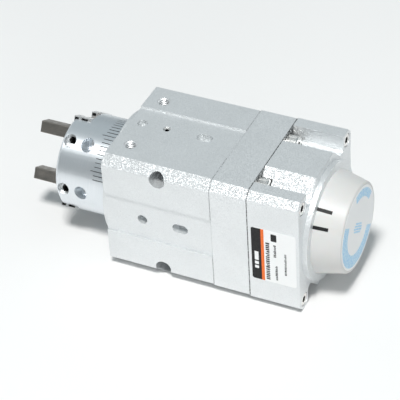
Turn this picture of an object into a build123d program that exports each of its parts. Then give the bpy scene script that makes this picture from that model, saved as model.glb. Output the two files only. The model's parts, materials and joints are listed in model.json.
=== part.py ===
from build123d import *
import os
from math import cos, radians, sin

os.makedirs("parts", exist_ok=True)

# ---------------------------------------------------------------------------------------------
# Rotary pneumatic actuator with a built-in two-finger gripper, in millimetres.
# The row's frame: X is the rotation axis and the origin is on it, at the front face of the
# square body. The fingers point to -X, the switch cap to +X, and the unit lies on its -Z face.
# ---------------------------------------------------------------------------------------------

# Square body, made of three slices stacked along X
BODY_WIDTH = 52.0
HALF = BODY_WIDTH / 2
FRONT_LENGTH, MIDDLE_LENGTH, REAR_LENGTH = 44.5, 15.0, 20.5
JOINT_1 = FRONT_LENGTH
JOINT_2 = JOINT_1 + MIDDLE_LENGTH
REAR_FACE = JOINT_2 + REAR_LENGTH
FRONT_CHAMFER, MIDDLE_CHAMFER, REAR_CHAMFER = 3.6, 3.1, 2.6
EDGE_BREAK = 0.25

# Front face: locating spigot, relief grooves along each side
SPIGOT_RADIUS, SPIGOT_HEIGHT = 25.1, 1.3
RELIEF_WIDTH, RELIEF_DEPTH = 18.0, 0.85

# Mounting features
TOP_TAP_X, TOP_TAP_Y, M5_RADIUS, TOP_TAP_DEPTH = 7.2, 14.6, 2.5, 9.0
DOWEL_RADIUS, DOWEL_DEPTH = 2.0, 4.0
TOP_DOWEL_X, SIDE_DOWEL_X, SLOT_X = 5.0, 15.4, 31.2
SLOT_LENGTH, SLOT_WIDTH = 6.4, 4.0
THROUGH_HOLE_X, THROUGH_HOLE_Z, THROUGH_HOLE_RADIUS = 23.2, 21.3, 3.2
PLUG_X, PLUG_RADIUS, PLUG_DEPTH, PLUG_HEX, PLUG_LENGTH, PLUG_SINK = 15.4, 1.5, 6.0, 1.5, 4.5, 0.6
PORT_DEPTH, PORT_PASSAGE_RADIUS = 7.0, 1.0
FIRST_PORT_X, SECOND_PORT_X, GRIP_PORT_X, GRIP_PASSAGE_X = 18.5, 37.5, 66.5, 63.2

# Rotary drive: shaft, bearings, vane chamber
SHAFT_RADIUS, SHAFT_BORE_RADIUS, SHAFT_END = 6.0, 2.06, 58.5
BEARING_RADIUS, BEARING_WIDTH, BALL_PITCH, BALL_RADIUS, BALL_COUNT = 12.0, 6.0, 9.0, 1.55, 8
BEARING_X = {"front": 2.0, "rear": 50.5}
SHAFT_HOLE_RADIUS, SEAL_RADIUS, SEAL_LENGTH = 6.3, 9.0, 3.0
CHAMBER_RADIUS, CHAMBER_START = 16.5, 14.0
HUB_RADIUS, VANE_THICKNESS, VANE_TIP = 8.2, 5.2, 16.1
RUNNING_GAP = 0.1
O_RING_RADIUS, O_RING_SECTION = 18.8, 0.75

# Gripper cylinder in the rear slice
CYLINDER_RADIUS, CYLINDER_START, CYLINDER_END = 11.0, 62.0, 76.0
COVER_RADIUS, COVER_LENGTH = 13.0, 4.0
PISTON_START, PISTON_LENGTH = 64.8, 5.0
ROD_RADIUS, ROD_END, ROD_SEAL_RADIUS = 2.0, 87.0, 4.0

# Collar and switch cap at the rear
COLLAR_RADIUS, COLLAR_HEIGHT = 23.4, 2.0
CAP_START = REAR_FACE + COLLAR_HEIGHT
CAP_LENGTH, CAP_BASE_RADIUS, CAP_REAR_RADIUS, CAP_WALL = 10.9, 20.3, 17.7, 1.5

# Screws that hold the slices together
BODY_SCREW_Y, BODY_SCREW_Z, BODY_SCREW_LENGTH = 14.0, 20.5, 25.0
M4_RADIUS, M4_CLEARANCE, M4_HEAD_RADIUS, M4_HEAD_LENGTH, M4_HEX = 2.0, 2.25, 3.5, 4.0, 3.0
REAR_SCREW_POS, REAR_SCREW_LENGTH = 21.9, 25.0
M3_RADIUS, M3_CLEARANCE, M3_HEAD_RADIUS, M3_HEAD_LENGTH, M3_HEX = 1.5, 1.65, 2.75, 3.0, 2.5
TAPPED_GAP, HEAD_GAP, HEAD_CHAMFER, SOCKET_SHARE = 0.02, 0.3, 0.3, 0.6

# Troughs beside the raised middle of the rear slice
PLATEAU_HALF, EAR_INNER, TROUGH_FLOOR, TROUGH_FILLET = 8.2, 18.4, 19.0, 1.5

# Printed label on the near side
LABEL_START, LABEL_END, LABEL_CENTRE_Z, LABEL_HEIGHT = 60.95, 78.8, -1.15, 24.7
LABEL_CORNER, LABEL_THICKNESS = 1.0, 0.12

# Switch unit inside the cap, and the magnet arm on the end of the rod
BOARD_THICKNESS, BOARD_HOLE, BOARD_SCREW_PLACE = 1.2, 4.0, 16.0
BOARD_SCREW_RADIUS, BOARD_HEAD_RADIUS, BOARD_HEAD_LENGTH = 1.0, 1.8, 1.2
SENSOR_PLACE, SENSOR_LENGTH, SENSOR_WIDTH, SENSOR_HEIGHT = 12.0, 3.0, 2.4, 1.0
ARM_HUB_RADIUS, ARM_HUB_LENGTH, ARM_THICKNESS, ARM_WIDTH = 3.6, 3.0, 1.8, 4.4
MAGNET_PLACE, MAGNET_RADIUS, MAGNET_LENGTH = 12.0, 1.25, 1.2

# Guide drum: the rotor is drawn with its jaw axis turned REST_TURN away from vertical
REST_TURN = 29.0
DRUM_RADIUS, DRUM_FRONT, DRUM_REAR, DRUM_CHAMFER = 19.4, -25.4, -1.8, 1.2
CHANNEL_HALF, CHANNEL_DEPTH = 9.3, 7.5
CHANNEL_FLOOR = DRUM_FRONT + CHANNEL_DEPTH
LEVER_CAVITY_HALF, LEVER_CAVITY_FLOOR, LEVER_CAVITY_REACH = 2.6, -8.4, 14.5
PIVOT_X, PIVOT_OFFSET, PIVOT_RADIUS = -14.2, 9.5, 1.5
PIVOT_MOUTH_RADIUS, PIVOT_PIN_LENGTH = 2.65, 21.0
PRELOAD_X, PRELOAD_RADIUS, PRELOAD_LENGTH = -21.8, 2.45, 5.0
PRELOAD_HEX, PRELOAD_HEX_DEPTH = 2.9, 4.0
FLANGE_RADIUS, FLANGE_FRONT, FLANGE_THICKNESS = 11.0, -6.8, 3.0
FLANGE_SCREW_PCD, FLANGE_SCREW_RADIUS, FLANGE_HEAD_RADIUS, FLANGE_HEAD_LENGTH = 17.4, 1.25, 1.9, 1.5
GRADUATION_STEP, GRADUATION_COUNT, GRADUATION_DEPTH, GRADUATION_WIDTH = 5.0, 37, 0.25, 0.35
GRADUATION_LENGTH, LONG_GRADUATION, GRADUATION_CENTRE = 7.0, 8.3, 69.0
LONG_EVERY, FIRST_LONG = 9, 7

# Fingers, their guide and the levers that drive them
FINGER_OFFSET, FINGER_WIDTH, FINGER_DEPTH, FINGER_TIP = 9.5, 4.7, 6.1, -41.9
SLIDER_HALF, SLIDER_FRONT, SLIDER_BACK = 5.6, DRUM_FRONT + 0.2, CHANNEL_FLOOR - 0.2
SLIDER_INNER, SLIDER_OUTER = 3.2, 15.9
RAIL_INNER, RAIL_HALF_LENGTH, RAIL_FRONT = 6.0, 18.2, DRUM_FRONT + 0.3
RAIL_POCKETS, RAIL_POCKET_DEPTH, RAIL_POCKET_HEIGHT = ((-24.9, -23.2), (-22.0, -19.2)), 1.5, 1.1
RAIL_POCKET_TOP = RAIL_HALF_LENGTH - 0.4
GUIDE_BALL_X, GUIDE_BALL_RADIUS, GUIDE_GROOVE = -21.5, 0.95, 1.7
OUT_ARM, IN_ARM, LEVER_THICKNESS, LEVER_ARM_WIDTH, LEVER_BOSS = 5.07, 6.5, 4.0, 1.8, 3.0
LEVER_SWING, IN_ARM_LEAN = 17.2, 10.0
OUT_TIP_RADIUS, IN_TIP_RADIUS = 1.2, 1.1
SPOOL_RADIUS, SPOOL_NECK, SPOOL_FLANGE, SPOOL_GAP = 3.9, 1.7, 1.2, 1.25

# Directions of the rotor at rest: OPEN points to the upper finger, ACROSS runs along the pins
OPEN = Vector(0, sin(radians(REST_TURN)), cos(radians(REST_TURN)))
ACROSS = Vector(0, cos(radians(REST_TURN)), -sin(radians(REST_TURN)))


def rotor_section(x):
    """Plane across the rotation axis, with local x along ACROSS and local y along OPEN."""
    return Plane(origin=(x, 0, 0), x_dir=ACROSS, z_dir=(1, 0, 0))


def rotor_side(distance):
    """Plane facing -ACROSS, with local x along +X and local y along OPEN."""
    return Plane(origin=ACROSS * -distance, x_dir=(1, 0, 0), z_dir=ACROSS * -1)


def disc(radius, start, end, hole=0.0, mode=Mode.ADD):
    """Cylinder, or ring, along X between two stations."""
    with BuildSketch(Plane.YZ.offset(start)) as profile:
        Circle(radius)
        if hole:
            Circle(hole, mode=Mode.SUBTRACT)
    extrude(profile.sketch, amount=end - start, mode=mode)


def chamfered_slice(start, length, corner):
    """Slice of the square body: chamfered long edges, and broken edges at both ends."""
    with BuildPart() as prism:
        with BuildSketch(Plane.YZ.offset(start)) as profile:
            Rectangle(BODY_WIDTH, BODY_WIDTH)
            chamfer(profile.vertices(), corner)
        extrude(profile.sketch, amount=length)
        chamfer(prism.edges().filter_by(Axis.X, reverse=True), EDGE_BREAK)
    return prism.part


def cap_screws(seats, head_radius, head_length, hexagon, shank_radius, length):
    """Socket-head cap screws along X: each seat is the middle of the head's rear face."""
    for seat in seats:
        with BuildSketch(Plane.YZ.offset(seat[0] - HEAD_CHAMFER)) as head:
            with Locations(seat[1:]):
                Circle(head_radius)
        extrude(head.sketch, amount=HEAD_CHAMFER - head_length)
        extrude(head.sketch, amount=HEAD_CHAMFER, taper=45)
        with BuildSketch(Plane.YZ.offset(seat[0] - head_length)) as shank:
            with Locations(seat[1:]):
                Circle(shank_radius)
        extrude(shank.sketch, amount=-length)
        with BuildSketch(Plane.YZ.offset(seat[0])) as socket:
            with Locations(seat[1:]):
                RegularPolygon(hexagon / 2, 6, major_radius=False)
        extrude(socket.sketch, amount=-head_length * SOCKET_SHARE, mode=Mode.SUBTRACT)


def save(builder, name):
    builder.part.label = name
    export_step(builder.part, f"parts/{name}.step")


corners = [(y, z) for y in (-1, 1) for z in (-1, 1)]
body_screw_places = [(y * BODY_SCREW_Y, z * BODY_SCREW_Z) for y, z in corners]
rear_screw_places = [(y * REAR_SCREW_POS, z * REAR_SCREW_POS) for y, z in corners]

# ---------------------------------------------------------------------------------------------
# Housing
# ---------------------------------------------------------------------------------------------
top = Plane.XY.offset(HALF)
near_side = Plane.XZ.offset(HALF)
far_side = Plane.XZ.offset(-HALF)

with BuildPart() as front_body:
    add(chamfered_slice(0, FRONT_LENGTH, FRONT_CHAMFER))
    disc(SPIGOT_RADIUS, -SPIGOT_HEIGHT, 0)
    with BuildSketch(Plane.YZ):
        with PolarLocations(HALF, 4):
            Rectangle(2 * RELIEF_DEPTH, RELIEF_WIDTH)
    extrude(amount=FRONT_LENGTH, mode=Mode.SUBTRACT)
    disc(BEARING_RADIUS, -SPIGOT_HEIGHT, BEARING_X["front"] + BEARING_WIDTH, mode=Mode.SUBTRACT)
    disc(SHAFT_HOLE_RADIUS, 0, CHAMBER_START, mode=Mode.SUBTRACT)
    disc(SEAL_RADIUS, CHAMBER_START - SEAL_LENGTH, CHAMBER_START, mode=Mode.SUBTRACT)
    disc(CHAMBER_RADIUS, CHAMBER_START, JOINT_1, mode=Mode.SUBTRACT)
    disc(O_RING_RADIUS + O_RING_SECTION, JOINT_1 - 2 * O_RING_SECTION, JOINT_1,
         hole=O_RING_RADIUS - O_RING_SECTION, mode=Mode.SUBTRACT)
    with Locations(top):
        with Locations((TOP_TAP_X, -TOP_TAP_Y), (TOP_TAP_X, TOP_TAP_Y)):
            Hole(M5_RADIUS, depth=TOP_TAP_DEPTH)
        with Locations((TOP_DOWEL_X, 0)):
            Hole(DOWEL_RADIUS, depth=DOWEL_DEPTH)
        with Locations((PLUG_X, 0)):
            Hole(PLUG_RADIUS, depth=PLUG_DEPTH)
    with Locations(near_side):
        with Locations((SIDE_DOWEL_X, 0)):
            Hole(DOWEL_RADIUS, depth=DOWEL_DEPTH)
        with Locations((THROUGH_HOLE_X, -THROUGH_HOLE_Z), (THROUGH_HOLE_X, THROUGH_HOLE_Z)):
            Hole(THROUGH_HOLE_RADIUS, depth=BODY_WIDTH)
    for face in (top, near_side):
        with BuildSketch(face):
            with Locations((SLOT_X, 0)):
                SlotOverall(SLOT_LENGTH, SLOT_WIDTH)
        extrude(amount=-DOWEL_DEPTH, mode=Mode.SUBTRACT)
    for port_x in (FIRST_PORT_X, SECOND_PORT_X):
        with BuildSketch(far_side):
            with Locations((port_x, 0)):
                Circle(M5_RADIUS)
        extrude(amount=PORT_DEPTH, mode=Mode.SUBTRACT)
        with BuildSketch(far_side):
            with Locations((port_x, 0)):
                Circle(PORT_PASSAGE_RADIUS)
        extrude(amount=HALF - CHAMBER_RADIUS + 1, mode=Mode.SUBTRACT)
    for y, z in body_screw_places:
        with BuildSketch(Plane.YZ.offset(JOINT_1)):
            with Locations((y, z)):
                Circle(M4_RADIUS + TAPPED_GAP)
        extrude(amount=-(BODY_SCREW_LENGTH - MIDDLE_LENGTH + 1), mode=Mode.SUBTRACT)

with BuildPart() as middle_body:
    add(chamfered_slice(JOINT_1, MIDDLE_LENGTH, MIDDLE_CHAMFER))
    disc(SHAFT_HOLE_RADIUS, JOINT_1, JOINT_2, mode=Mode.SUBTRACT)
    disc(SEAL_RADIUS, JOINT_1, JOINT_1 + SEAL_LENGTH, mode=Mode.SUBTRACT)
    disc(BEARING_RADIUS, BEARING_X["rear"], JOINT_2, mode=Mode.SUBTRACT)
    with BuildSketch(Plane.YZ.offset(JOINT_1)):
        with Locations(*body_screw_places):
            Circle(M4_CLEARANCE)
    extrude(amount=MIDDLE_LENGTH, mode=Mode.SUBTRACT)
    with BuildSketch(Plane.YZ.offset(JOINT_2)):
        with Locations(*rear_screw_places):
            Circle(M3_RADIUS + TAPPED_GAP)
    extrude(amount=-(REAR_SCREW_LENGTH + M3_HEAD_LENGTH - REAR_LENGTH + 1), mode=Mode.SUBTRACT)

with BuildPart() as rear_body:
    add(chamfered_slice(JOINT_2, REAR_LENGTH, REAR_CHAMFER))
    disc(COLLAR_RADIUS, REAR_FACE, CAP_START)
    for y, z in corners:
        with BuildSketch(Plane.YZ.offset(JOINT_2)) as trough:
            with BuildLine():
                Polyline(
                    (y * PLATEAU_HALF, z * (HALF + 1)),
                    (y * PLATEAU_HALF, z * HALF),
                    (y * (PLATEAU_HALF + HALF - TROUGH_FLOOR), z * TROUGH_FLOOR),
                    (y * EAR_INNER, z * TROUGH_FLOOR),
                    (y * EAR_INNER, z * (HALF + 1)),
                    close=True,
                )
            make_face()
            fillet(trough.vertices().filter_by(lambda v: abs(v.Y) < TROUGH_FLOOR + 1), TROUGH_FILLET)
        extrude(amount=REAR_LENGTH, mode=Mode.SUBTRACT)
        with BuildSketch(Plane.YZ.offset(JOINT_2)):
            with Locations((y * BODY_SCREW_Y, z * BODY_SCREW_Z)):
                Circle(M4_HEAD_RADIUS + HEAD_GAP)
        extrude(amount=M4_HEAD_LENGTH + HEAD_GAP, mode=Mode.SUBTRACT)
    disc(ROD_SEAL_RADIUS, JOINT_2, CYLINDER_START, mode=Mode.SUBTRACT)
    disc(CYLINDER_RADIUS, CYLINDER_START, CYLINDER_END, mode=Mode.SUBTRACT)
    disc(COVER_RADIUS, CYLINDER_END, CAP_START, mode=Mode.SUBTRACT)
    disc(COVER_RADIUS + 0.6, CYLINDER_END + COVER_LENGTH, CYLINDER_END + COVER_LENGTH + 1,
         mode=Mode.SUBTRACT)
    with BuildSketch(Plane.YZ.offset(REAR_FACE)):
        with Locations(*rear_screw_places):
            Circle(M3_CLEARANCE)
    extrude(amount=-REAR_LENGTH, mode=Mode.SUBTRACT)
    with BuildSketch(Plane.YZ.offset(REAR_FACE)):
        with Locations(*rear_screw_places):
            Circle(M3_HEAD_RADIUS + 0.1)
    extrude(amount=-(M3_HEAD_LENGTH + 0.2), mode=Mode.SUBTRACT)
    with BuildSketch(far_side):
        with Locations((GRIP_PORT_X, 0)):
            Circle(M5_RADIUS)
    extrude(amount=PORT_DEPTH, mode=Mode.SUBTRACT)
    with BuildSketch(Plane(origin=(GRIP_PORT_X, HALF - PORT_DEPTH + 1, 0), x_dir=(0, 0, 1),
                           z_dir=(GRIP_PASSAGE_X - GRIP_PORT_X, CYLINDER_RADIUS - HALF + PORT_DEPTH, 0))):
        Circle(PORT_PASSAGE_RADIUS)
    extrude(amount=HALF - CYLINDER_RADIUS - PORT_DEPTH + 2.5, mode=Mode.SUBTRACT)

with BuildPart() as dust_seal:
    disc(BEARING_RADIUS, -SPIGOT_HEIGHT, BEARING_X["front"], hole=SHAFT_RADIUS + 0.05)

with BuildPart() as front_shaft_seal:
    disc(SEAL_RADIUS, CHAMBER_START - SEAL_LENGTH, CHAMBER_START, hole=SHAFT_RADIUS + 0.05)

with BuildPart() as rear_shaft_seal:
    disc(SEAL_RADIUS, JOINT_1, JOINT_1 + SEAL_LENGTH, hole=SHAFT_RADIUS + 0.05)

with BuildPart() as chamber_o_ring:
    with Locations((JOINT_1 - O_RING_SECTION, 0, 0)):
        Torus(O_RING_RADIUS, O_RING_SECTION - 0.01, rotation=(0, 90, 0))

# Fixed shoe: fills the upper half of the chamber and stops the vane at both ends of its turn
with BuildPart() as chamber_stop:
    with BuildSketch(Plane.YZ.offset(CHAMBER_START)):
        Circle(CHAMBER_RADIUS)
        Circle(HUB_RADIUS + 0.15, mode=Mode.SUBTRACT)
        with Locations((0, -HALF + VANE_THICKNESS / 2 + 0.15)):
            Rectangle(BODY_WIDTH, BODY_WIDTH, mode=Mode.SUBTRACT)
    extrude(amount=JOINT_1 - CHAMBER_START)

with BuildPart() as passage_plug:
    with BuildSketch(Plane.XY.offset(HALF - RELIEF_DEPTH - PLUG_SINK)):
        with Locations((PLUG_X, 0)):
            Circle(PLUG_RADIUS)
    extrude(amount=-PLUG_LENGTH)
    with BuildSketch(Plane.XY.offset(HALF - RELIEF_DEPTH - PLUG_SINK)):
        with Locations((PLUG_X, 0)):
            RegularPolygon(PLUG_HEX / 2, 6, major_radius=False)
    extrude(amount=-PLUG_LENGTH / 2, mode=Mode.SUBTRACT)

with BuildPart() as body_screws:
    cap_screws([(JOINT_2 + M4_HEAD_LENGTH, y, z) for y, z in body_screw_places],
               M4_HEAD_RADIUS, M4_HEAD_LENGTH, M4_HEX, M4_RADIUS, BODY_SCREW_LENGTH)

with BuildPart() as rear_screws:
    cap_screws([(REAR_FACE - 0.2, y, z) for y, z in rear_screw_places],
               M3_HEAD_RADIUS, M3_HEAD_LENGTH, M3_HEX, M3_RADIUS, REAR_SCREW_LENGTH)

with BuildPart() as cylinder_cover:
    disc(COVER_RADIUS, CYLINDER_END, CYLINDER_END + COVER_LENGTH, hole=ROD_RADIUS + 0.05)
    disc(COVER_RADIUS, CYLINDER_END + 1.2, CYLINDER_END + 2.8, hole=COVER_RADIUS - 1.4,
         mode=Mode.SUBTRACT)

with BuildPart() as cover_o_ring:
    with Locations((CYLINDER_END + 2.0, 0, 0)):
        Torus(COVER_RADIUS - 0.7, 0.69, rotation=(0, 90, 0))

with BuildPart() as retaining_ring:
    ring_x = CYLINDER_END + COVER_LENGTH
    with BuildSketch(Plane.YZ.offset(ring_x)):
        Circle(COVER_RADIUS + 0.5)
        Circle(COVER_RADIUS - 1.6, mode=Mode.SUBTRACT)
        with Locations((0, -COVER_RADIUS)):
            Rectangle(8, 6, mode=Mode.SUBTRACT)
    extrude(amount=1)

with BuildPart() as rod_seal:
    disc(ROD_SEAL_RADIUS, JOINT_2 + 0.2, CYLINDER_START, hole=ROD_RADIUS + 0.05)

cap_slope = (CAP_BASE_RADIUS - CAP_REAR_RADIUS) / CAP_LENGTH

with BuildPart() as switch_cap:
    with BuildSketch(Plane.XY) as cap_profile:
        with BuildLine():
            Polyline(
                (CAP_START, CAP_BASE_RADIUS - CAP_WALL),
                (CAP_START, CAP_BASE_RADIUS),
                (CAP_START + CAP_LENGTH, CAP_REAR_RADIUS),
                (CAP_START + CAP_LENGTH, 0),
                (CAP_START + CAP_LENGTH - CAP_WALL, 0),
                (CAP_START + CAP_LENGTH - CAP_WALL, CAP_REAR_RADIUS - CAP_WALL),
                close=True,
            )
        make_face()
        rim = cap_profile.vertices().sort_by(Axis.X)[-2:].sort_by(Axis.Y)[-1]
        fillet(rim, 0.7)
    revolve(axis=Axis.X)

# Two black index bars printed on the cap's side, each a thin slab that follows the cone
MARK_ANGLES, MARK_LENGTH, MARK_WIDTH, MARK_HEIGHT = (31.0, 50.5), 5.6, 1.3, 0.12
with BuildPart() as cap_marks:
    with BuildSketch(Plane.XY):
        with BuildLine():
            Polyline(
                (CAP_START, CAP_BASE_RADIUS),
                (CAP_START, CAP_BASE_RADIUS + MARK_HEIGHT),
                (CAP_START + MARK_LENGTH, CAP_BASE_RADIUS - MARK_LENGTH * cap_slope + MARK_HEIGHT),
                (CAP_START + MARK_LENGTH, CAP_BASE_RADIUS - MARK_LENGTH * cap_slope),
                close=True,
            )
        make_face()
    revolve(axis=Axis.X)
    with BuildSketch(Plane.YZ.offset(CAP_START)):
        for angle in MARK_ANGLES:
            with Locations(Rotation(0, 0, 180 - angle)):
                with Locations((CAP_BASE_RADIUS, 0)):
                    Rectangle(8, MARK_WIDTH)
    extrude(amount=MARK_LENGTH, mode=Mode.INTERSECT)

with BuildPart() as cap_sticker:
    disc(CAP_REAR_RADIUS - 1.1, CAP_START + CAP_LENGTH, CAP_START + CAP_LENGTH + 0.1)

# Switch unit inside the cap: a round board with two sensors, read by the rotating magnet arm
with BuildPart() as circuit_board:
    disc(CAP_BASE_RADIUS - CAP_WALL - 0.8, CAP_START, CAP_START + BOARD_THICKNESS, hole=BOARD_HOLE)
    with BuildSketch(Plane.YZ.offset(CAP_START)):
        with PolarLocations(BOARD_SCREW_PLACE, 3, start_angle=90):
            Circle(BOARD_SCREW_RADIUS + 0.1)
    extrude(amount=BOARD_THICKNESS, mode=Mode.SUBTRACT)

with BuildPart() as board_screws:
    for radius, length in (
        (BOARD_HEAD_RADIUS, BOARD_HEAD_LENGTH), (BOARD_SCREW_RADIUS, -BOARD_THICKNESS),
    ):
        with BuildSketch(Plane.YZ.offset(CAP_START + BOARD_THICKNESS)):
            with PolarLocations(BOARD_SCREW_PLACE, 3, start_angle=90):
                Circle(radius)
        extrude(amount=length)

with BuildPart() as position_sensors:
    for angle in MARK_ANGLES:
        with BuildSketch(Plane.YZ.offset(CAP_START + BOARD_THICKNESS)):
            with Locations(Rotation(0, 0, 180 - angle)):
                with Locations((SENSOR_PLACE, 0)):
                    Rectangle(SENSOR_LENGTH, SENSOR_WIDTH)
        extrude(amount=SENSOR_HEIGHT)

with BuildPart() as name_plate:
    with BuildSketch(near_side):
        with Locations(((LABEL_START + LABEL_END) / 2, LABEL_CENTRE_Z)):
            RectangleRounded(LABEL_END - LABEL_START, LABEL_HEIGHT, LABEL_CORNER)
    extrude(amount=LABEL_THICKNESS)

for builder, name in (
    (front_body, "front_body"), (middle_body, "middle_body"), (rear_body, "rear_body"),
    (dust_seal, "dust_seal"), (front_shaft_seal, "front_shaft_seal"),
    (rear_shaft_seal, "rear_shaft_seal"), (chamber_o_ring, "chamber_o_ring"),
    (chamber_stop, "chamber_stop"), (passage_plug, "passage_plug"),
    (body_screws, "body_screws"), (rear_screws, "rear_screws"),
    (cylinder_cover, "cylinder_cover"), (cover_o_ring, "cover_o_ring"),
    (retaining_ring, "retaining_ring"), (rod_seal, "rod_seal"), (switch_cap, "switch_cap"),
    (cap_marks, "cap_marks"), (cap_sticker, "cap_sticker"), (circuit_board, "circuit_board"),
    (board_screws, "board_screws"), (position_sensors, "position_sensors"),
    (name_plate, "name_plate"),
):
    save(builder, name)

# ---------------------------------------------------------------------------------------------
# Ball bearings: outer rings stay in the housing, inner rings and balls turn with the shaft
# ---------------------------------------------------------------------------------------------
for place, start in BEARING_X.items():
    centre = start + BEARING_WIDTH / 2

    with BuildPart() as outer_ring:
        disc(BEARING_RADIUS, start, start + BEARING_WIDTH, hole=BALL_PITCH + 1.3)
        with Locations((centre, 0, 0)):
            Torus(BALL_PITCH, BALL_RADIUS + 0.05, rotation=(0, 90, 0), mode=Mode.SUBTRACT)
    save(outer_ring, f"{place}_bearing_outer_ring")

    with BuildPart() as inner_ring:
        disc(BALL_PITCH - 1.3, start, start + BEARING_WIDTH, hole=SHAFT_RADIUS)
        with Locations((centre, 0, 0)):
            Torus(BALL_PITCH, BALL_RADIUS, rotation=(0, 90, 0), mode=Mode.SUBTRACT)
    save(inner_ring, f"{place}_bearing_inner_ring")

    with BuildPart() as balls:
        with Locations(Plane.YZ.offset(centre)):
            with PolarLocations(BALL_PITCH, BALL_COUNT):
                Sphere(BALL_RADIUS)
    save(balls, f"{place}_bearing_balls")

# ---------------------------------------------------------------------------------------------
# Rotor: drum, shaft, vane, finger guide
# ---------------------------------------------------------------------------------------------
with BuildPart() as guide_drum:
    disc(DRUM_RADIUS, DRUM_FRONT, DRUM_REAR)
    rims = guide_drum.edges().filter_by(GeomType.CIRCLE).sort_by(Axis.X)
    chamfer(rims[0], DRUM_CHAMFER)
    chamfer(guide_drum.edges().filter_by(GeomType.CIRCLE).sort_by(Axis.X)[-1], EDGE_BREAK)
    # channel for the finger guide, right across the front
    with BuildSketch(rotor_section(DRUM_FRONT)):
        Rectangle(2 * CHANNEL_HALF, 4 * DRUM_RADIUS)
    extrude(amount=CHANNEL_DEPTH, mode=Mode.SUBTRACT)
    # cavity for the two levers and the end of the gripper rod
    with BuildSketch(rotor_section(LEVER_CAVITY_FLOOR)):
        SlotOverall(2 * LEVER_CAVITY_REACH, 2 * LEVER_CAVITY_HALF, rotation=90)
        Circle(SPOOL_RADIUS + 0.5)
    extrude(amount=CHANNEL_FLOOR - LEVER_CAVITY_FLOOR, mode=Mode.SUBTRACT)
    disc(ROD_RADIUS + 0.4, FLANGE_FRONT - 3, DRUM_REAR, mode=Mode.SUBTRACT)
    disc(FLANGE_RADIUS, FLANGE_FRONT, DRUM_REAR, mode=Mode.SUBTRACT)
    # pivot pin bores, with a wider mouth on each side of the drum
    for side in (-PIVOT_OFFSET, PIVOT_OFFSET):
        with BuildSketch(rotor_side(0)):
            with Locations((PIVOT_X, side)):
                Circle(PIVOT_RADIUS)
        extrude(amount=DRUM_RADIUS, both=True, mode=Mode.SUBTRACT)
        mouth = PIVOT_PIN_LENGTH / 2 + 0.2
        with BuildSketch(rotor_side(mouth)):
            with Locations((PIVOT_X, side)):
                Circle(PIVOT_MOUTH_RADIUS)
        extrude(amount=DRUM_RADIUS, mode=Mode.SUBTRACT)
        with BuildSketch(rotor_side(-mouth)):
            with Locations((PIVOT_X, side)):
                Circle(PIVOT_MOUTH_RADIUS)
        extrude(amount=-DRUM_RADIUS, mode=Mode.SUBTRACT)
        # tapped holes for the preload screws, on the one side that carries the loose rail
        with BuildSketch(rotor_side(CHANNEL_HALF - 1)):
            with Locations((PRELOAD_X, side)):
                Circle(PRELOAD_RADIUS + 0.02)
        extrude(amount=DRUM_RADIUS, mode=Mode.SUBTRACT)
    # tapped holes for the flange screws
    with BuildSketch(rotor_section(FLANGE_FRONT)):
        with PolarLocations(FLANGE_SCREW_PCD / 2, 4, start_angle=45):
            Circle(FLANGE_SCREW_RADIUS + 0.02)
    extrude(amount=-4.0, mode=Mode.SUBTRACT)
    # engraved graduations around the rear rim
    for index in range(GRADUATION_COUNT):
        angle = GRADUATION_CENTRE + (index - GRADUATION_COUNT // 2) * GRADUATION_STEP
        length = LONG_GRADUATION if index % LONG_EVERY == FIRST_LONG else GRADUATION_LENGTH
        with BuildSketch(Plane.YZ.offset(DRUM_REAR - EDGE_BREAK)):
            with Locations(Rotation(0, 0, angle)):
                with Locations((DRUM_RADIUS, 0)):
                    Rectangle(2 * GRADUATION_DEPTH, GRADUATION_WIDTH)
        extrude(amount=-length, mode=Mode.SUBTRACT)

with BuildPart() as vane_shaft:
    disc(SHAFT_RADIUS, FLANGE_FRONT, SHAFT_END)
    disc(FLANGE_RADIUS - 0.05, FLANGE_FRONT, FLANGE_FRONT + FLANGE_THICKNESS)
    disc(SHAFT_BORE_RADIUS, FLANGE_FRONT, SHAFT_END, mode=Mode.SUBTRACT)
    with BuildSketch(rotor_section(FLANGE_FRONT)):
        with PolarLocations(FLANGE_SCREW_PCD / 2, 4, start_angle=45):
            Circle(FLANGE_SCREW_RADIUS + 0.15)
    extrude(amount=FLANGE_THICKNESS, mode=Mode.SUBTRACT)

with BuildPart() as flange_screws:
    with BuildSketch(rotor_section(FLANGE_FRONT + FLANGE_THICKNESS)):
        with PolarLocations(FLANGE_SCREW_PCD / 2, 4, start_angle=45):
            Circle(FLANGE_HEAD_RADIUS)
    extrude(amount=FLANGE_HEAD_LENGTH)
    with BuildSketch(rotor_section(FLANGE_FRONT + FLANGE_THICKNESS)):
        with PolarLocations(FLANGE_SCREW_PCD / 2, 4, start_angle=45):
            Circle(FLANGE_SCREW_RADIUS)
    extrude(amount=-6.0)

VANE_START, VANE_END = CHAMBER_START + RUNNING_GAP, JOINT_1 - RUNNING_GAP
with BuildPart() as vane:
    disc(HUB_RADIUS, VANE_START, VANE_END, hole=SHAFT_RADIUS)
    with BuildSketch(rotor_section(VANE_START)):
        with Locations(((HUB_RADIUS - 1 + VANE_TIP) / 2, 0)):
            Rectangle(VANE_TIP - HUB_RADIUS + 1, VANE_THICKNESS)
    extrude(amount=VANE_END - VANE_START)
    with BuildSketch(rotor_section(VANE_START)):
        with Locations((VANE_TIP, 0)):
            Rectangle(2.4, 1.6, mode=Mode.ADD)
    extrude(amount=VANE_END - VANE_START, mode=Mode.SUBTRACT)

with BuildPart() as vane_seal:
    with BuildSketch(rotor_section(VANE_START)):
        Circle(CHAMBER_RADIUS - 0.05)
        with Locations(((VANE_TIP - 1.2 + HALF) / 2, 0)):
            Rectangle(HALF - VANE_TIP + 1.2, 1.6, mode=Mode.INTERSECT)
    extrude(amount=VANE_END - VANE_START)

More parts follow.
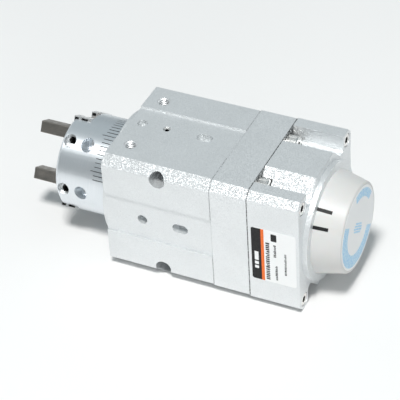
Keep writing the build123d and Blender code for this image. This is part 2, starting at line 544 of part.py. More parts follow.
with BuildPart() as preload_screws:
    for side in (-PIVOT_OFFSET, PIVOT_OFFSET):
        with BuildSketch(rotor_side(CHANNEL_HALF)):
            with Locations((PRELOAD_X, side)):
                Circle(PRELOAD_RADIUS)
        extrude(amount=PRELOAD_LENGTH)
        with BuildSketch(rotor_side(CHANNEL_HALF + PRELOAD_LENGTH)):
            with Locations((PRELOAD_X, side)):
                RegularPolygon(PRELOAD_HEX / 2, 6, major_radius=False)
        extrude(amount=-PRELOAD_HEX_DEPTH, mode=Mode.SUBTRACT)

with BuildPart() as pivot_pins:
    for side in (-PIVOT_OFFSET, PIVOT_OFFSET):
        with BuildSketch(rotor_side(0)):
            with Locations((PIVOT_X, side)):
                Circle(PIVOT_RADIUS)
        extrude(amount=PIVOT_PIN_LENGTH / 2, both=True)

for builder, name in (
    (guide_drum, "guide_drum"), (vane_shaft, "vane_shaft"), (flange_screws, "flange_screws"),
    (vane, "vane"), (vane_seal, "vane_seal"), (preload_screws, "preload_screws"),
    (pivot_pins, "pivot_pins"),
):
    save(builder, name)

for name, side in (("near_guide_rail", -1), ("far_guide_rail", 1)):
    with BuildPart() as rail:
        with BuildSketch(rotor_section(RAIL_FRONT)):
            with Locations((side * (CHANNEL_HALF + RAIL_INNER) / 2, 0)):
                Rectangle(CHANNEL_HALF - RAIL_INNER, 2 * RAIL_HALF_LENGTH)
        extrude(amount=CHANNEL_FLOOR - RAIL_FRONT)
        with BuildSketch(rotor_section(GUIDE_BALL_X - GUIDE_BALL_RADIUS)):
            with Locations((side * RAIL_INNER, 0)):
                Rectangle(GUIDE_GROOVE, 2 * RAIL_HALF_LENGTH)
        extrude(amount=2 * GUIDE_BALL_RADIUS, mode=Mode.SUBTRACT)
        # pockets in both faces, near both ends
        inner_row, outer_row = RAIL_INNER + RAIL_POCKET_DEPTH / 2, CHANNEL_HALF - RAIL_POCKET_DEPTH / 2
        pocket_middle = RAIL_POCKET_TOP - RAIL_POCKET_HEIGHT / 2
        for start, end in RAIL_POCKETS:
            with BuildSketch(rotor_section(start)):
                with Locations(*[(side * row, way * pocket_middle)
                                 for row in (inner_row, outer_row) for way in (-1, 1)]):
                    Rectangle(RAIL_POCKET_DEPTH, RAIL_POCKET_HEIGHT)
            extrude(amount=end - start, mode=Mode.SUBTRACT)
    save(rail, name)

GUIDE_BALL_ACROSS = (RAIL_INNER + SLIDER_HALF) / 2
with BuildPart() as guide_balls:
    for across in (-GUIDE_BALL_ACROSS, GUIDE_BALL_ACROSS):
        for along in (-14.0, -10.5, -7.0, 7.0, 10.5, 14.0):
            with Locations(rotor_section(GUIDE_BALL_X)):
                with Locations((across, along, 0)):
                    Sphere(GUIDE_BALL_RADIUS - 0.05)
save(guide_balls, "guide_balls")

# ---------------------------------------------------------------------------------------------
# Fingers and their levers
# ---------------------------------------------------------------------------------------------
rest_out = radians(LEVER_SWING)
rest_in = radians(LEVER_SWING - IN_ARM_LEAN)
out_tip_x = PIVOT_X - OUT_ARM * cos(rest_out)
out_tip_rise = PIVOT_OFFSET + OUT_ARM * sin(rest_out)
in_tip_x = PIVOT_X - IN_ARM * sin(rest_in)
in_tip_rise = PIVOT_OFFSET - IN_ARM * cos(rest_in)

for place, side in (("upper", 1), ("lower", -1)):
    with BuildPart() as finger:
        with BuildSketch(rotor_section(SLIDER_FRONT)):
            with Locations((0, side * (SLIDER_INNER + SLIDER_OUTER) / 2)):
                Rectangle(2 * SLIDER_HALF, SLIDER_OUTER - SLIDER_INNER)
        extrude(amount=SLIDER_BACK - SLIDER_FRONT)
        with BuildSketch(rotor_section(SLIDER_FRONT)):
            with Locations((0, side * FINGER_OFFSET)):
                RectangleRounded(FINGER_DEPTH, FINGER_WIDTH, 0.35)
        extrude(amount=FINGER_TIP - SLIDER_FRONT)
        with BuildSketch(rotor_section(GUIDE_BALL_X - GUIDE_BALL_RADIUS)):
            with Locations((-SLIDER_HALF, 0), (SLIDER_HALF, 0)):
                Rectangle(GUIDE_GROOVE, 4 * DRUM_RADIUS)
        extrude(amount=2 * GUIDE_BALL_RADIUS, mode=Mode.SUBTRACT)
        # slot in the slider's back for the lever's outer end
        with BuildSketch(rotor_section(SLIDER_BACK)):
            with Locations((0, side * out_tip_rise)):
                Rectangle(LEVER_THICKNESS + 0.6, 2 * OUT_TIP_RADIUS + 0.2)
        extrude(amount=out_tip_x - OUT_TIP_RADIUS - 0.6 - SLIDER_BACK, mode=Mode.SUBTRACT)
    save(finger, f"{place}_finger")

    with BuildPart() as lever:
        pivot = (PIVOT_X, side * PIVOT_OFFSET)
        out_tip = (out_tip_x, side * out_tip_rise)
        in_tip = (in_tip_x, side * in_tip_rise)
        with BuildSketch(rotor_side(0)):
            with Locations(pivot):
                Circle(LEVER_BOSS)
            for tip, tip_radius in ((out_tip, OUT_TIP_RADIUS), (in_tip, IN_TIP_RADIUS)):
                middle = ((pivot[0] + tip[0]) / 2, (pivot[1] + tip[1]) / 2)
                SlotCenterPoint(middle, tip, LEVER_ARM_WIDTH)
                with Locations(tip):
                    Circle(tip_radius)
            with Locations(pivot):
                Circle(PIVOT_RADIUS + 0.05, mode=Mode.SUBTRACT)
        extrude(amount=LEVER_THICKNESS / 2, both=True)
    save(lever, f"{place}_lever")

# ---------------------------------------------------------------------------------------------
# Gripper drive: the rod runs through the hollow shaft and turns with it
# ---------------------------------------------------------------------------------------------
groove_start, groove_end = in_tip_x - SPOOL_GAP, in_tip_x + SPOOL_GAP
PISTON_END = PISTON_START + PISTON_LENGTH

with BuildPart() as gripper_rod:
    disc(SPOOL_RADIUS, groove_start - SPOOL_FLANGE, groove_end + SPOOL_FLANGE)
    disc(SPOOL_RADIUS, groove_start, groove_end, hole=SPOOL_NECK, mode=Mode.SUBTRACT)
    disc(ROD_RADIUS, groove_end + SPOOL_FLANGE, ROD_END)

with BuildPart() as gripper_piston:
    disc(CYLINDER_RADIUS - 0.05, PISTON_START, PISTON_END, hole=ROD_RADIUS)
    disc(CYLINDER_RADIUS, PISTON_START + 1.5, PISTON_END - 1.5, hole=CYLINDER_RADIUS - 1.6,
         mode=Mode.SUBTRACT)

with BuildPart() as piston_seal:
    disc(CYLINDER_RADIUS - 0.05, PISTON_START + 1.5, PISTON_END - 1.5, hole=CYLINDER_RADIUS - 1.6)

with BuildPart() as magnet_arm:
    disc(ARM_HUB_RADIUS, ROD_END - ARM_HUB_LENGTH, ROD_END, hole=ROD_RADIUS)
    with BuildSketch(rotor_section(ROD_END - ARM_THICKNESS)):
        with Locations(((ARM_HUB_RADIUS + MAGNET_PLACE) / 2, 0)):
            Rectangle(MAGNET_PLACE - ARM_HUB_RADIUS + 1, ARM_WIDTH)
        with Locations((MAGNET_PLACE, 0)):
            Circle(ARM_WIDTH / 2)
    extrude(amount=ARM_THICKNESS)
    with BuildSketch(rotor_section(ROD_END - ARM_THICKNESS)):
        with Locations((MAGNET_PLACE, 0)):
            Circle(MAGNET_RADIUS)
    extrude(amount=MAGNET_LENGTH, mode=Mode.SUBTRACT)

with BuildPart() as magnet:
    with BuildSketch(rotor_section(ROD_END - ARM_THICKNESS)):
        with Locations((MAGNET_PLACE, 0)):
            Circle(MAGNET_RADIUS)
    extrude(amount=MAGNET_LENGTH)

SPRING_RADIUS, SPRING_WIRE, SPRING_TURNS = 6.5, 0.35, 3.0
SPRING_START, SPRING_END = PISTON_END + SPRING_WIRE + 0.05, CYLINDER_END - SPRING_WIRE - 0.05
with BuildPart() as return_spring:
    with BuildLine() as coil:
        Helix((SPRING_END - SPRING_START) / SPRING_TURNS, SPRING_END - SPRING_START, SPRING_RADIUS,
              center=(SPRING_START, 0, 0), direction=(1, 0, 0))
    with BuildSketch(Plane(origin=coil.line @ 0, z_dir=coil.line % 0)):
        Circle(SPRING_WIRE)
    sweep(is_frenet=True)

for builder, name in (
    (gripper_rod, "gripper_rod"), (gripper_piston, "gripper_piston"),
    (piston_seal, "piston_seal"), (magnet_arm, "magnet_arm"), (magnet, "magnet"),
    (return_spring, "return_spring"),
):
    save(builder, name)
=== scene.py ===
import json
import math
import random

import bmesh
import bpy
from mathutils import Matrix, Vector


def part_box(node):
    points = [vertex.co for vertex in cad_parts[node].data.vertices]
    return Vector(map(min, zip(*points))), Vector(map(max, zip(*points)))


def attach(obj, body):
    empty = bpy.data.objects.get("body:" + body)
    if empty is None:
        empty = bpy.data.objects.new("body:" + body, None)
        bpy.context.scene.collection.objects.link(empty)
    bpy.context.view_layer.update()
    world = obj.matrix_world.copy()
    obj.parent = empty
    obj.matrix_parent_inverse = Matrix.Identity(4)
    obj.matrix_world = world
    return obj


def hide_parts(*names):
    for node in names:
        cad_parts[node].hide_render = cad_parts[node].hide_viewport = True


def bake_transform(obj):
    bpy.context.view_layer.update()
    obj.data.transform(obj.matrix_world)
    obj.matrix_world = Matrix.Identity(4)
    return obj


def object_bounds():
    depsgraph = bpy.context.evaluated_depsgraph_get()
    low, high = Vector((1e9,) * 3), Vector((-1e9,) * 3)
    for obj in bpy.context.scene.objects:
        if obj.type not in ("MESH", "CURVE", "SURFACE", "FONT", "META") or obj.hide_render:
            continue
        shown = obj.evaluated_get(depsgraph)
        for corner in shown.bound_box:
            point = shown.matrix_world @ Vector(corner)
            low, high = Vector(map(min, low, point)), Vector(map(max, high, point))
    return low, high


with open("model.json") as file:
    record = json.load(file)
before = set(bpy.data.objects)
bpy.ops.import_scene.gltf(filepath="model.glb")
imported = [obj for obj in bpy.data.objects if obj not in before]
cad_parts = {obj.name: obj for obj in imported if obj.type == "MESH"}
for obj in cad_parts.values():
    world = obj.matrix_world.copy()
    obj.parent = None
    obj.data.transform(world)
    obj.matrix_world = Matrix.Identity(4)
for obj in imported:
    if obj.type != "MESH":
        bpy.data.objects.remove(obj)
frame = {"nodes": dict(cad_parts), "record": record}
cad_low, cad_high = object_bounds()

MM = 0.001
random.seed(16)

# ---------------------------------------------------------------------------------------------
# Places read from the frame, in metres
# ---------------------------------------------------------------------------------------------
JOINT_1, JOINT_2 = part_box("front_body")[1].x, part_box("rear_body")[0].x
drum_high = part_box("guide_drum")[1]
DRUM_RADIUS = max(drum_high.y, drum_high.z)
screws_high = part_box("body_screws")[1]
plate_low, plate_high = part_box("name_plate")
sticker_low, sticker_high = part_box("cap_sticker")
mounts = {mount["name"]: mount for mount in frame["record"]["mounts"]}


# ---------------------------------------------------------------------------------------------
# Materials
# ---------------------------------------------------------------------------------------------
class Surface:
    """A Principled material whose patterns are laid out in the object's own metres."""

    def __init__(self, name, color, metallic=0.0, roughness=0.5):
        self.material = bpy.data.materials.new(name)
        self.material.use_nodes = True
        self.tree = self.material.node_tree
        self.shader = self.tree.nodes["Principled BSDF"]
        self.shader.inputs["Base Color"].default_value = (*color, 1.0)
        self.shader.inputs["Metallic"].default_value = metallic
        self.shader.inputs["Roughness"].default_value = roughness
        self.color = color
        self.coords = self.tree.nodes.new("ShaderNodeTexCoord").outputs["Object"]
        self.normal = None

    def node(self, kind, **values):
        made = self.tree.nodes.new(kind)
        for key, value in values.items():
            setattr(made, key, value)
        return made

    def link(self, source, target):
        self.tree.links.new(source, target)

    def set(self, **values):
        for key, value in values.items():
            self.shader.inputs[key.replace("_", " ")].default_value = value
        return self

    def noise(self, size, detail=2.0, stretch=(1.0, 1.0, 1.0)):
        """Cloudy noise with features about size metres across, stretched along an axis."""
        mapping = self.node("ShaderNodeMapping")
        mapping.inputs["Scale"].default_value = tuple(1 / (size * s) for s in stretch)
        self.link(self.coords, mapping.inputs["Vector"])
        texture = self.node("ShaderNodeTexNoise")
        texture.inputs["Scale"].default_value = 1.0
        texture.inputs["Detail"].default_value = detail
        self.link(mapping.outputs["Vector"], texture.inputs["Vector"])
        return texture.outputs["Fac"]

    def cells(self, size):
        """One random colour per grain about size metres across."""
        mapping = self.node("ShaderNodeMapping")
        mapping.inputs["Scale"].default_value = (1 / size,) * 3
        self.link(self.coords, mapping.inputs["Vector"])
        texture = self.node("ShaderNodeTexVoronoi")
        texture.inputs["Scale"].default_value = 1.0
        self.link(mapping.outputs["Vector"], texture.inputs["Vector"])
        return texture.outputs["Color"]

    def grains(self, size):
        """One random value per grain about size metres across."""
        separate = self.node("ShaderNodeSeparateColor")
        self.link(self.cells(size), separate.inputs["Color"])
        return separate.outputs["Red"]

    def ranged(self, value, low, high, start=0.0, end=1.0):
        limits = self.node("ShaderNodeMapRange")
        for key, number in (("From Min", start), ("From Max", end), ("To Min", low), ("To Max", high)):
            limits.inputs[key].default_value = number
        self.link(value, limits.inputs["Value"])
        return limits.outputs["Result"]

    def tint(self, value, other, low=0.35, high=0.65, amount=1.0):
        """Shifts the base colour towards other where value runs from low to high."""
        mix = self.node("ShaderNodeMix", data_type="RGBA")
        self.link(self.ranged(value, 0.0, amount, low, high), mix.inputs["Factor"])
        base = self.shader.inputs["Base Color"]
        if base.is_linked:
            self.link(base.links[0].from_socket, mix.inputs["A"])
        else:
            mix.inputs["A"].default_value = base.default_value
        mix.inputs["B"].default_value = (*other, 1.0)
        self.link(mix.outputs["Result"], base)
        return self

    def rough(self, value, low, high, start=0.3, end=0.7):
        self.link(self.ranged(value, low, high, start, end), self.shader.inputs["Roughness"])
        return self

    def bump(self, value, depth, strength=1.0):
        made = self.node("ShaderNodeBump")
        made.inputs["Distance"].default_value = depth
        made.inputs["Strength"].default_value = strength
        self.link(value, made.inputs["Height"])
        if self.normal:
            self.link(self.normal, made.inputs["Normal"])
        self.normal = made.outputs["Normal"]
        self.link(self.normal, self.shader.inputs["Normal"])
        return self

    def glitter(self, size, amount):
        """Tilts each grain's normal its own way, so some of them catch the light."""
        tilt = self.node("ShaderNodeVectorMath", operation="MULTIPLY_ADD")
        self.link(self.cells(size), tilt.inputs[0])
        tilt.inputs[1].default_value = (2 * amount,) * 3
        tilt.inputs[2].default_value = (-amount,) * 3
        total = self.node("ShaderNodeVectorMath", operation="ADD")
        source = self.normal or self.node("ShaderNodeNewGeometry").outputs["Normal"]
        self.link(source, total.inputs[0])
        self.link(tilt.outputs["Vector"], total.inputs[1])
        unit = self.node("ShaderNodeVectorMath", operation="NORMALIZE")
        self.link(total.outputs["Vector"], unit.inputs[0])
        self.normal = unit.outputs["Vector"]
        self.link(self.normal, self.shader.inputs["Normal"])
        return self

    def rounded_edges(self, radius):
        """Shades sharp edges as if they were slightly rounded."""
        bevel = self.node("ShaderNodeBevel", samples=4)
        bevel.inputs["Radius"].default_value = radius
        self.normal = bevel.outputs["Normal"]
        return self

    def seam(self, station, half_width, darkness):
        """Dark, broken line of grime and painted shade in the joint, around the body at one station along
        X.
        """
        separate = self.node("ShaderNodeSeparateXYZ")
        self.link(self.coords, separate.inputs["Vector"])
        offset = self.node("ShaderNodeMath", operation="SUBTRACT")
        self.link(separate.outputs["X"], offset.inputs[0])
        offset.inputs[1].default_value = station
        distance = self.node("ShaderNodeMath", operation="ABSOLUTE")
        self.link(offset.outputs["Value"], distance.inputs[0])
        near = self.ranged(distance.outputs["Value"], 1.0, 0.0, half_width * 0.6, half_width)
        broken = self.node("ShaderNodeMath", operation="MULTIPLY")
        self.link(near, broken.inputs[0])
        self.link(self.ranged(self.noise(0.7 * MM, 1.0), 0.35, 1.0, 0.4, 0.55), broken.inputs[1])
        return self.tint(broken.outputs["Value"], (0.02, 0.02, 0.02), 0.0, 1.0, darkness)

    def dark_recesses(self, reach, color, start=0.6, end=0.25):
        """Oil and shadow in the piece's own deep corners, such as sockets and pockets."""
        hidden = self.node("ShaderNodeAmbientOcclusion", samples=8, only_local=True)
        hidden.inputs["Distance"].default_value = reach
        return self.tint(self.ranged(hidden.outputs["AO"], 0.0, 1.0, start, end), color, 0.0, 1.0)

    def turned(self, anisotropic):
        """Stretches highlights across the turning marks, which run around the rotation axis."""
        tangent = self.node("ShaderNodeTangent", direction_type="RADIAL", axis="X")
        self.link(tangent.outputs["Tangent"], self.shader.inputs["Tangent"])
        return self.set(Anisotropic=anisotropic, Anisotropic_Rotation=0.25)


def blasted_aluminium(name, grain, depth, color, tilt, roughness, seams=()):
    """Bead-blasted, clear-anodised aluminium: every grain catches the light its own way."""
    surface = Surface(name, color, metallic=0.6, roughness=0.5)
    surface.rounded_edges(0.12 * MM)
    surface.tint(surface.noise(11 * MM, 2.0), [c * 0.97 for c in color])
    surface.tint(surface.grains(grain * 0.6), [c * 0.84 for c in color], 0.8, 0.95)
    surface.rough(surface.noise(grain * 2, 1.0), roughness - 0.05, roughness + 0.05)
    surface.bump(surface.noise(grain, 2.0), depth, 0.7)
    surface.glitter(grain, tilt)
    # Grime and painted shade in the joints between the body's parts
    for station, half_width, darkness in seams:
        surface.seam(station, half_width, darkness)
    return surface.material


def turned_aluminium():
    """Finely turned aluminium: hair-thin rings around the axis, with a broad soft highlight."""
    color = (0.88, 0.91, 0.94)
    surface = Surface("turned_aluminium", color, metallic=0.85, roughness=0.4)
    lines = surface.noise(0.12 * MM, 1.0, stretch=(1.0, 80.0, 80.0))
    surface.tint(lines, (0.80, 0.84, 0.88), 0.4, 0.7)
    surface.tint(surface.noise(6 * MM, 2.0), (0.84, 0.88, 0.91))
    surface.rough(lines, 0.36, 0.46)
    surface.bump(lines, 0.002 * MM, 0.4)
    return surface.turned(0.8).material


def machined_aluminium():
    color = (0.80, 0.81, 0.82)
    surface = Surface("machined_aluminium", color, metallic=1.0, roughness=0.34)
    marks = surface.noise(0.3 * MM, 2.0, stretch=(12.0, 1.0, 1.0))
    surface.tint(marks, (0.70, 0.71, 0.73))
    surface.rough(marks, 0.25, 0.42)
    return surface.bump(marks, 0.01 * MM, 0.5).material


def ground_steel(name, color, low, high, metallic=1.0):
    surface = Surface(name, color, metallic=metallic, roughness=low)
    marks = surface.noise(0.25 * MM, 3.0, stretch=(14.0, 1.0, 1.0))
    stains = surface.noise(2.5 * MM, 4.0)
    surface.tint(stains, [c * 0.85 for c in color])
    surface.tint(marks, [min(1.0, c * 1.25) for c in color], 0.55, 0.75, 0.6)
    surface.rough(stains, low, high)
    surface.dark_recesses(1.6 * MM, (0.02, 0.02, 0.02), 0.55, 0.3)
    return surface.bump(marks, 0.006 * MM, 0.5).material


def plated_steel():
    color = (0.95, 0.94, 0.92)
    surface = Surface("screw_steel", color, metallic=1.0, roughness=0.2)
    spots = surface.noise(0.5 * MM, 3.0)
    surface.tint(spots, (0.78, 0.77, 0.75))
    surface.rough(spots, 0.24, 0.42)
    surface.dark_recesses(3 * MM, (0.015, 0.015, 0.015))
    return surface.bump(spots, 0.02 * MM, 0.4).material


def rubber():
    surface = Surface("seal_rubber", (0.018, 0.018, 0.019), roughness=0.62)
    grain = surface.noise(0.3 * MM, 3.0)
    surface.tint(grain, (0.035, 0.035, 0.036))
    surface.rough(grain, 0.5, 0.75)
    return surface.bump(grain, 0.02 * MM, 0.5).material


def moulded_plastic():
    """Off-white moulded plastic: very fine texture and a faint yellowing in patches."""
    surface = Surface("cap_plastic", (0.69, 0.688, 0.68), roughness=0.46)
    surface.tint(surface.noise(14 * MM, 3.0), (0.675, 0.668, 0.65))
    fine = surface.noise(0.25 * MM, 2.0)
    surface.rough(fine, 0.36, 0.5)
    surface.bump(fine, 0.008 * MM, 0.6)
    surface.set(Subsurface_Weight=0.08, Subsurface_Scale=1.5 * MM, IOR=1.5)
    return surface.material


def printed(name, color, roughness=0.45, other=None):
    """A flat printed film or ink with faint mottling."""
    surface = Surface(name, color, roughness=roughness)
    mottle = surface.noise(0.7 * MM, 3.0)
    surface.tint(mottle, other or [min(1.0, c * 1.15 + 0.01) for c in color])
    surface.rough(mottle, roughness - 0.08, roughness + 0.1)
    surface.set(Specular_IOR_Level=0.25)
    return surface.bump(surface.noise(2 * MM), 0.01 * MM, 0.4).material


def laminate():
    surface = Surface("board_laminate", (0.03, 0.17, 0.07), roughness=0.4)
    weave = surface.noise(0.4 * MM, 2.0, stretch=(1.0, 3.0, 1.0))
    surface.tint(weave, (0.05, 0.22, 0.10))
    return surface.bump(weave, 0.02 * MM, 0.4).material


FINE_GRAIN, COARSE_GRAIN = 0.2 * MM, 0.22 * MM
looks = {
    "anodised_aluminium": blasted_aluminium(
        "anodised_aluminium", FINE_GRAIN, 0.01 * MM, (0.82, 0.84, 0.85), 0.17, 0.41,
        [(JOINT_1, 0.2 * MM, 0.4)]),
    "cast_aluminium": blasted_aluminium(
        "cast_aluminium", COARSE_GRAIN, 0.03 * MM, (0.835, 0.855, 0.865), 0.22, 0.4,
        [(JOINT_1, 0.2 * MM, 0.4), (JOINT_2, 0.24 * MM, 0.95)]),
    "turned_aluminium": turned_aluminium(),
    "machined_aluminium": machined_aluminium(),
    "bearing_steel": ground_steel("bearing_steel", (0.84, 0.84, 0.84), 0.3, 0.44, 0.8),
    "hardened_steel": ground_steel("hardened_steel", (0.36, 0.33, 0.30), 0.32, 0.5),
    "screw_steel": plated_steel(),
    "seal_rubber": rubber(),
    "cap_plastic": moulded_plastic(),
    "black_print": printed("black_print", (0.012, 0.012, 0.013), 0.5),
    "sticker_film": printed("sticker_film", (0.90, 0.91, 0.91), 0.4, (0.92, 0.92, 0.92)),
    "label_film": printed("label_film", (0.94, 0.95, 0.95), 0.4, (0.95, 0.955, 0.955)),
    "board_laminate": laminate(),
}
thread_metal = Surface("thread_aluminium", (0.90, 0.91, 0.92), metallic=0.6, roughness=0.35)
thread_metal.rough(thread_metal.noise(0.3 * MM, 2.0), 0.28, 0.42)
looks["thread_aluminium"] = thread_metal.bump(thread_metal.noise(0.2 * MM), 0.01 * MM, 0.4).material
orange_print = printed("orange_print", (0.85, 0.17, 0.03), 0.45)
blue_print = printed("blue_print", (0.34, 0.63, 0.90), 0.5, (0.66, 0.84, 0.95))

for subpart in frame["record"]["subparts"]:
    mesh = frame["nodes"][subpart["node"]].data
    mesh.materials.clear()
    mesh.materials.append(looks[subpart["material_slot"]])


# ---------------------------------------------------------------------------------------------
# Added pieces
# ---------------------------------------------------------------------------------------------
def placed(name, mesh_builder, material):
    """Makes a mesh object from a bmesh and puts it in the scene."""
    mesh = bpy.data.meshes.new(name)
    mesh_builder.normal_update()
    mesh_builder.to_mesh(mesh)
    mesh_builder.free()
    mesh.materials.append(material)
    made = bpy.data.objects.new(name, mesh)
    bpy.context.scene.collection.objects.link(made)
    return made


def piece(name, mesh_builder, body, material):
    """Makes a mesh object which rides on a body of the frame."""
    made = placed(name, mesh_builder, material)
    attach(made, body)
    return made


def slab(builder, outline, lift, thickness, place):
    """Adds a flat plate: outline in local x and y, raised by lift, moved by place."""
    low = [builder.verts.new(place @ Vector((x, y, lift))) for x, y in outline]
    high = [builder.verts.new(place @ Vector((x, y, lift + thickness))) for x, y in outline]
    builder.faces.new(list(reversed(low)))
    builder.faces.new(high)
    for i in range(len(outline)):
        j = (i + 1) % len(outline)
        builder.faces.new((low[i], low[j], high[j], high[i]))


def rectangle(x0, y0, x1, y1):
    return [(x0, y0), (x1, y0), (x1, y1), (x0, y1)]


def rounded(x0, y0, x1, y1, radii, steps=6):
    """Rectangle whose corners, from the low one counter-clockwise, have the given radii."""
    points = []
    corners = ((x0, y0, 180), (x1, y0, 270), (x1, y1, 0), (x0, y1, 90))
    for (x, y, start), radius in zip(corners, radii):
        cx = x + radius if x == x0 else x - radius
        cy = y + radius if y == y0 else y - radius
        for k in range(steps + 1 if radius else 1):
            a = math.radians(start + 90 * k / steps)
            points.append((cx + radius * math.cos(a), cy + radius * math.sin(a)))
    return points


def on_plane(origin, x_axis, y_axis):
    """Places local x and y along the two axes given, with local z out of the surface."""
    turn = Matrix((x_axis, y_axis, x_axis.cross(y_axis))).transposed().to_4x4()
    return Matrix.Translation(origin) @ turn


def thread(name, mouth, outwards, crest, root, pitch, length):
    """Internal thread: one helical ridge with a triangular section, below a hole's mouth."""
    steps = 28
    builder = bmesh.new()
    across = Vector((1, 0, 0))
    upward = outwards.cross(across)
    sections = []
    for k in range(int(steps * length / pitch) + 1):
        angle = 2 * math.pi * k / steps
        around = across * math.cos(angle) + upward * math.sin(angle)
        centre_line = mouth - outwards * (pitch * 0.45 + pitch * k / steps)
        sections.append([
            builder.verts.new(centre_line + around * root + outwards * pitch * 0.44),
            builder.verts.new(centre_line + around * crest + outwards * pitch * 0.06),
            builder.verts.new(centre_line + around * crest - outwards * pitch * 0.06),
            builder.verts.new(centre_line + around * root - outwards * pitch * 0.44),
        ])
    for first, second in zip(sections, sections[1:]):
        for i in range(4):
            j = (i + 1) % 4
            builder.faces.new((first[i], first[j], second[j], second[i]))
    builder.faces.new(list(reversed(sections[0])))
    builder.faces.new(sections[-1])
    bmesh.ops.recalc_face_normals(builder, faces=builder.faces)
    return piece(name, builder, "housing", looks["thread_aluminium"])


M5_PITCH, M5_CREST, M5_ROOT = 0.8 * MM, 2.06 * MM, 2.49 * MM
taps = mounts["top_taps"]
half_spacing = taps["dims"]["spacing_y_mm"] * MM / 2
for name, side in (("near_tap_thread", -1), ("far_tap_thread", 1)):
    mouth = Vector(taps["pos_m"]) + Vector((0, side * half_spacing, 0))
    thread(name, mouth, Vector((0, 0, 1)), M5_CREST, M5_ROOT, M5_PITCH, 8 * MM)
for port in ("first_air_port", "second_air_port", "grip_air_port"):
    length = mounts[port]["dims"]["length_mm"] * MM
    mouth = Vector(mounts[port]["pos_m"]) + Vector((0, length / 2, 0))
    thread(port + "_thread", mouth, Vector((0, 1, 0)), M5_CREST, M5_ROOT, M5_PITCH, length - 1.2 * MM)

# Fine ridges around the heads of the four body screws
KNURL_COUNT, KNURL_INNER, KNURL_OUTER = 40, 3.4 * MM, 3.58 * MM
HEAD_RADIUS, HEAD_LENGTH = 3.5 * MM, 4.0 * MM
for number, (side, level) in enumerate(((-1, -1), (-1, 1), (1, -1), (1, 1)), start=1):
    centre_y = side * (screws_high.y - HEAD_RADIUS)
    centre_z = level * (screws_high.z - HEAD_RADIUS)
    knurl = bmesh.new()
    ring = []
    for k in range(2 * KNURL_COUNT):
        radius = KNURL_OUTER if k % 2 else KNURL_INNER
        angle = math.pi * k / KNURL_COUNT
        ring.append((centre_y + radius * math.cos(angle), centre_z + radius * math.sin(angle)))
    stations = (screws_high.x - HEAD_LENGTH + 0.2 * MM, screws_high.x - 0.7 * MM)
    rows = [[knurl.verts.new((x, y, z)) for y, z in ring] for x in stations]
    for i in range(len(ring)):
        j = (i + 1) % len(ring)
        knurl.faces.new((rows[0][i], rows[0][j], rows[1][j], rows[1][i]))
    knurl.faces.new(list(reversed(rows[0])))
    knurl.faces.new(rows[1])
    bmesh.ops.recalc_face_normals(knurl, faces=knurl.faces)
    piece(f"screw_knurl_{number}", knurl, "housing", looks["screw_steel"])

# The return spring between the piston and the cover, drawn as a coil of wire in the CAD spring's place
WIRE, TURNS, COIL_STEPS, WIRE_SIDES = 0.35 * MM, 3, 40, 12
spring_low, spring_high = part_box("return_spring")
coil_radius = (spring_high.y - spring_low.y) / 2 - WIRE
coil_start, coil_end = spring_low.x + WIRE, spring_high.x - WIRE
coil = bmesh.new()
rise = (coil_end - coil_start) / (2 * math.pi * TURNS)
turns = [2 * math.pi * i / WIRE_SIDES for i in range(WIRE_SIDES)]
rings = []
for k in range(TURNS * COIL_STEPS + 1):
    angle = 2 * math.pi * k / COIL_STEPS
    radial = Vector((0, math.cos(angle), math.sin(angle)))
    forward = Vector((rise, -coil_radius * math.sin(angle), coil_radius * math.cos(angle))).normalized()
    side = forward.cross(radial)
    middle = radial * coil_radius + Vector((coil_start + rise * angle, 0, 0))
    rings.append([
        coil.verts.new(middle + (radial * math.cos(t) + side * math.sin(t)) * WIRE) for t in turns])
for first, second in zip(rings, rings[1:]):
    for i in range(WIRE_SIDES):
        j = (i + 1) % WIRE_SIDES
        coil.faces.new((first[i], first[j], second[j], second[i]))
coil.faces.new(list(reversed(rings[0])))
coil.faces.new(rings[-1])
bmesh.ops.recalc_face_normals(coil, faces=coil.faces)
spring_coil = placed("spring_coil", coil, looks["screw_steel"])
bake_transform(spring_coil)
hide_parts("return_spring")

# Ink in the drum's engraved graduations
GRADUATIONS, STEP, MIDDLE_ANGLE, LONG_EVERY, FIRST_LONG = 37, 5.0, 69.0, 9, 7
SHORT_LINE, LONG_LINE, RIM_BREAK = 7.0 * MM, 8.3 * MM, 0.25 * MM
INK_INNER, INK_OUTER, INK_HALF_WIDTH = DRUM_RADIUS - 0.26 * MM, DRUM_RADIUS - 0.1 * MM, 0.1 * MM
line_end = drum_high.x - RIM_BREAK
ink = bmesh.new()
for k in range(GRADUATIONS):
    angle = math.radians(MIDDLE_ANGLE + (k - GRADUATIONS // 2) * STEP)
    length = LONG_LINE if k % LONG_EVERY == FIRST_LONG else SHORT_LINE
    place = on_plane(Vector((0, 0, 0)), Vector((0, -math.sin(angle), math.cos(angle))), Vector((1, 0, 0)))
    outline = rectangle(-INK_HALF_WIDTH, line_end - length + 0.02 * MM, INK_HALF_WIDTH, line_end)
    slab(ink, outline, INK_INNER, INK_OUTER - INK_INNER, place)
bmesh.ops.recalc_face_normals(ink, faces=ink.faces)
piece("graduation_ink", ink, "rotor", looks["black_print"])

# The label: its film, sunk a hair so that the print on it stays within the CAD's size, then a dark
# stripe with a light block, a thin accent stripe, and plain bars
FILM, SUNK, PLATE_CORNER = 0.012 * MM, 0.03 * MM, 1.0 * MM
label_place = on_plane(
    Vector((plate_low.x, plate_low.y + SUNK, plate_low.z)), Vector((1, 0, 0)), Vector((0, 0, 1)))
label_width, label_height = plate_high.x - plate_low.x, plate_high.z - plate_low.z
label_base = bmesh.new()
label_outline = rounded(0, 0, label_width, label_height, (PLATE_CORNER,) * 4)
base_depth = plate_high.y - plate_low.y - SUNK
slab(label_base, label_outline, -base_depth, base_depth, label_place)
label_plate = piece("label_plate", label_base, "housing", looks["label_film"])
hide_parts("name_plate")

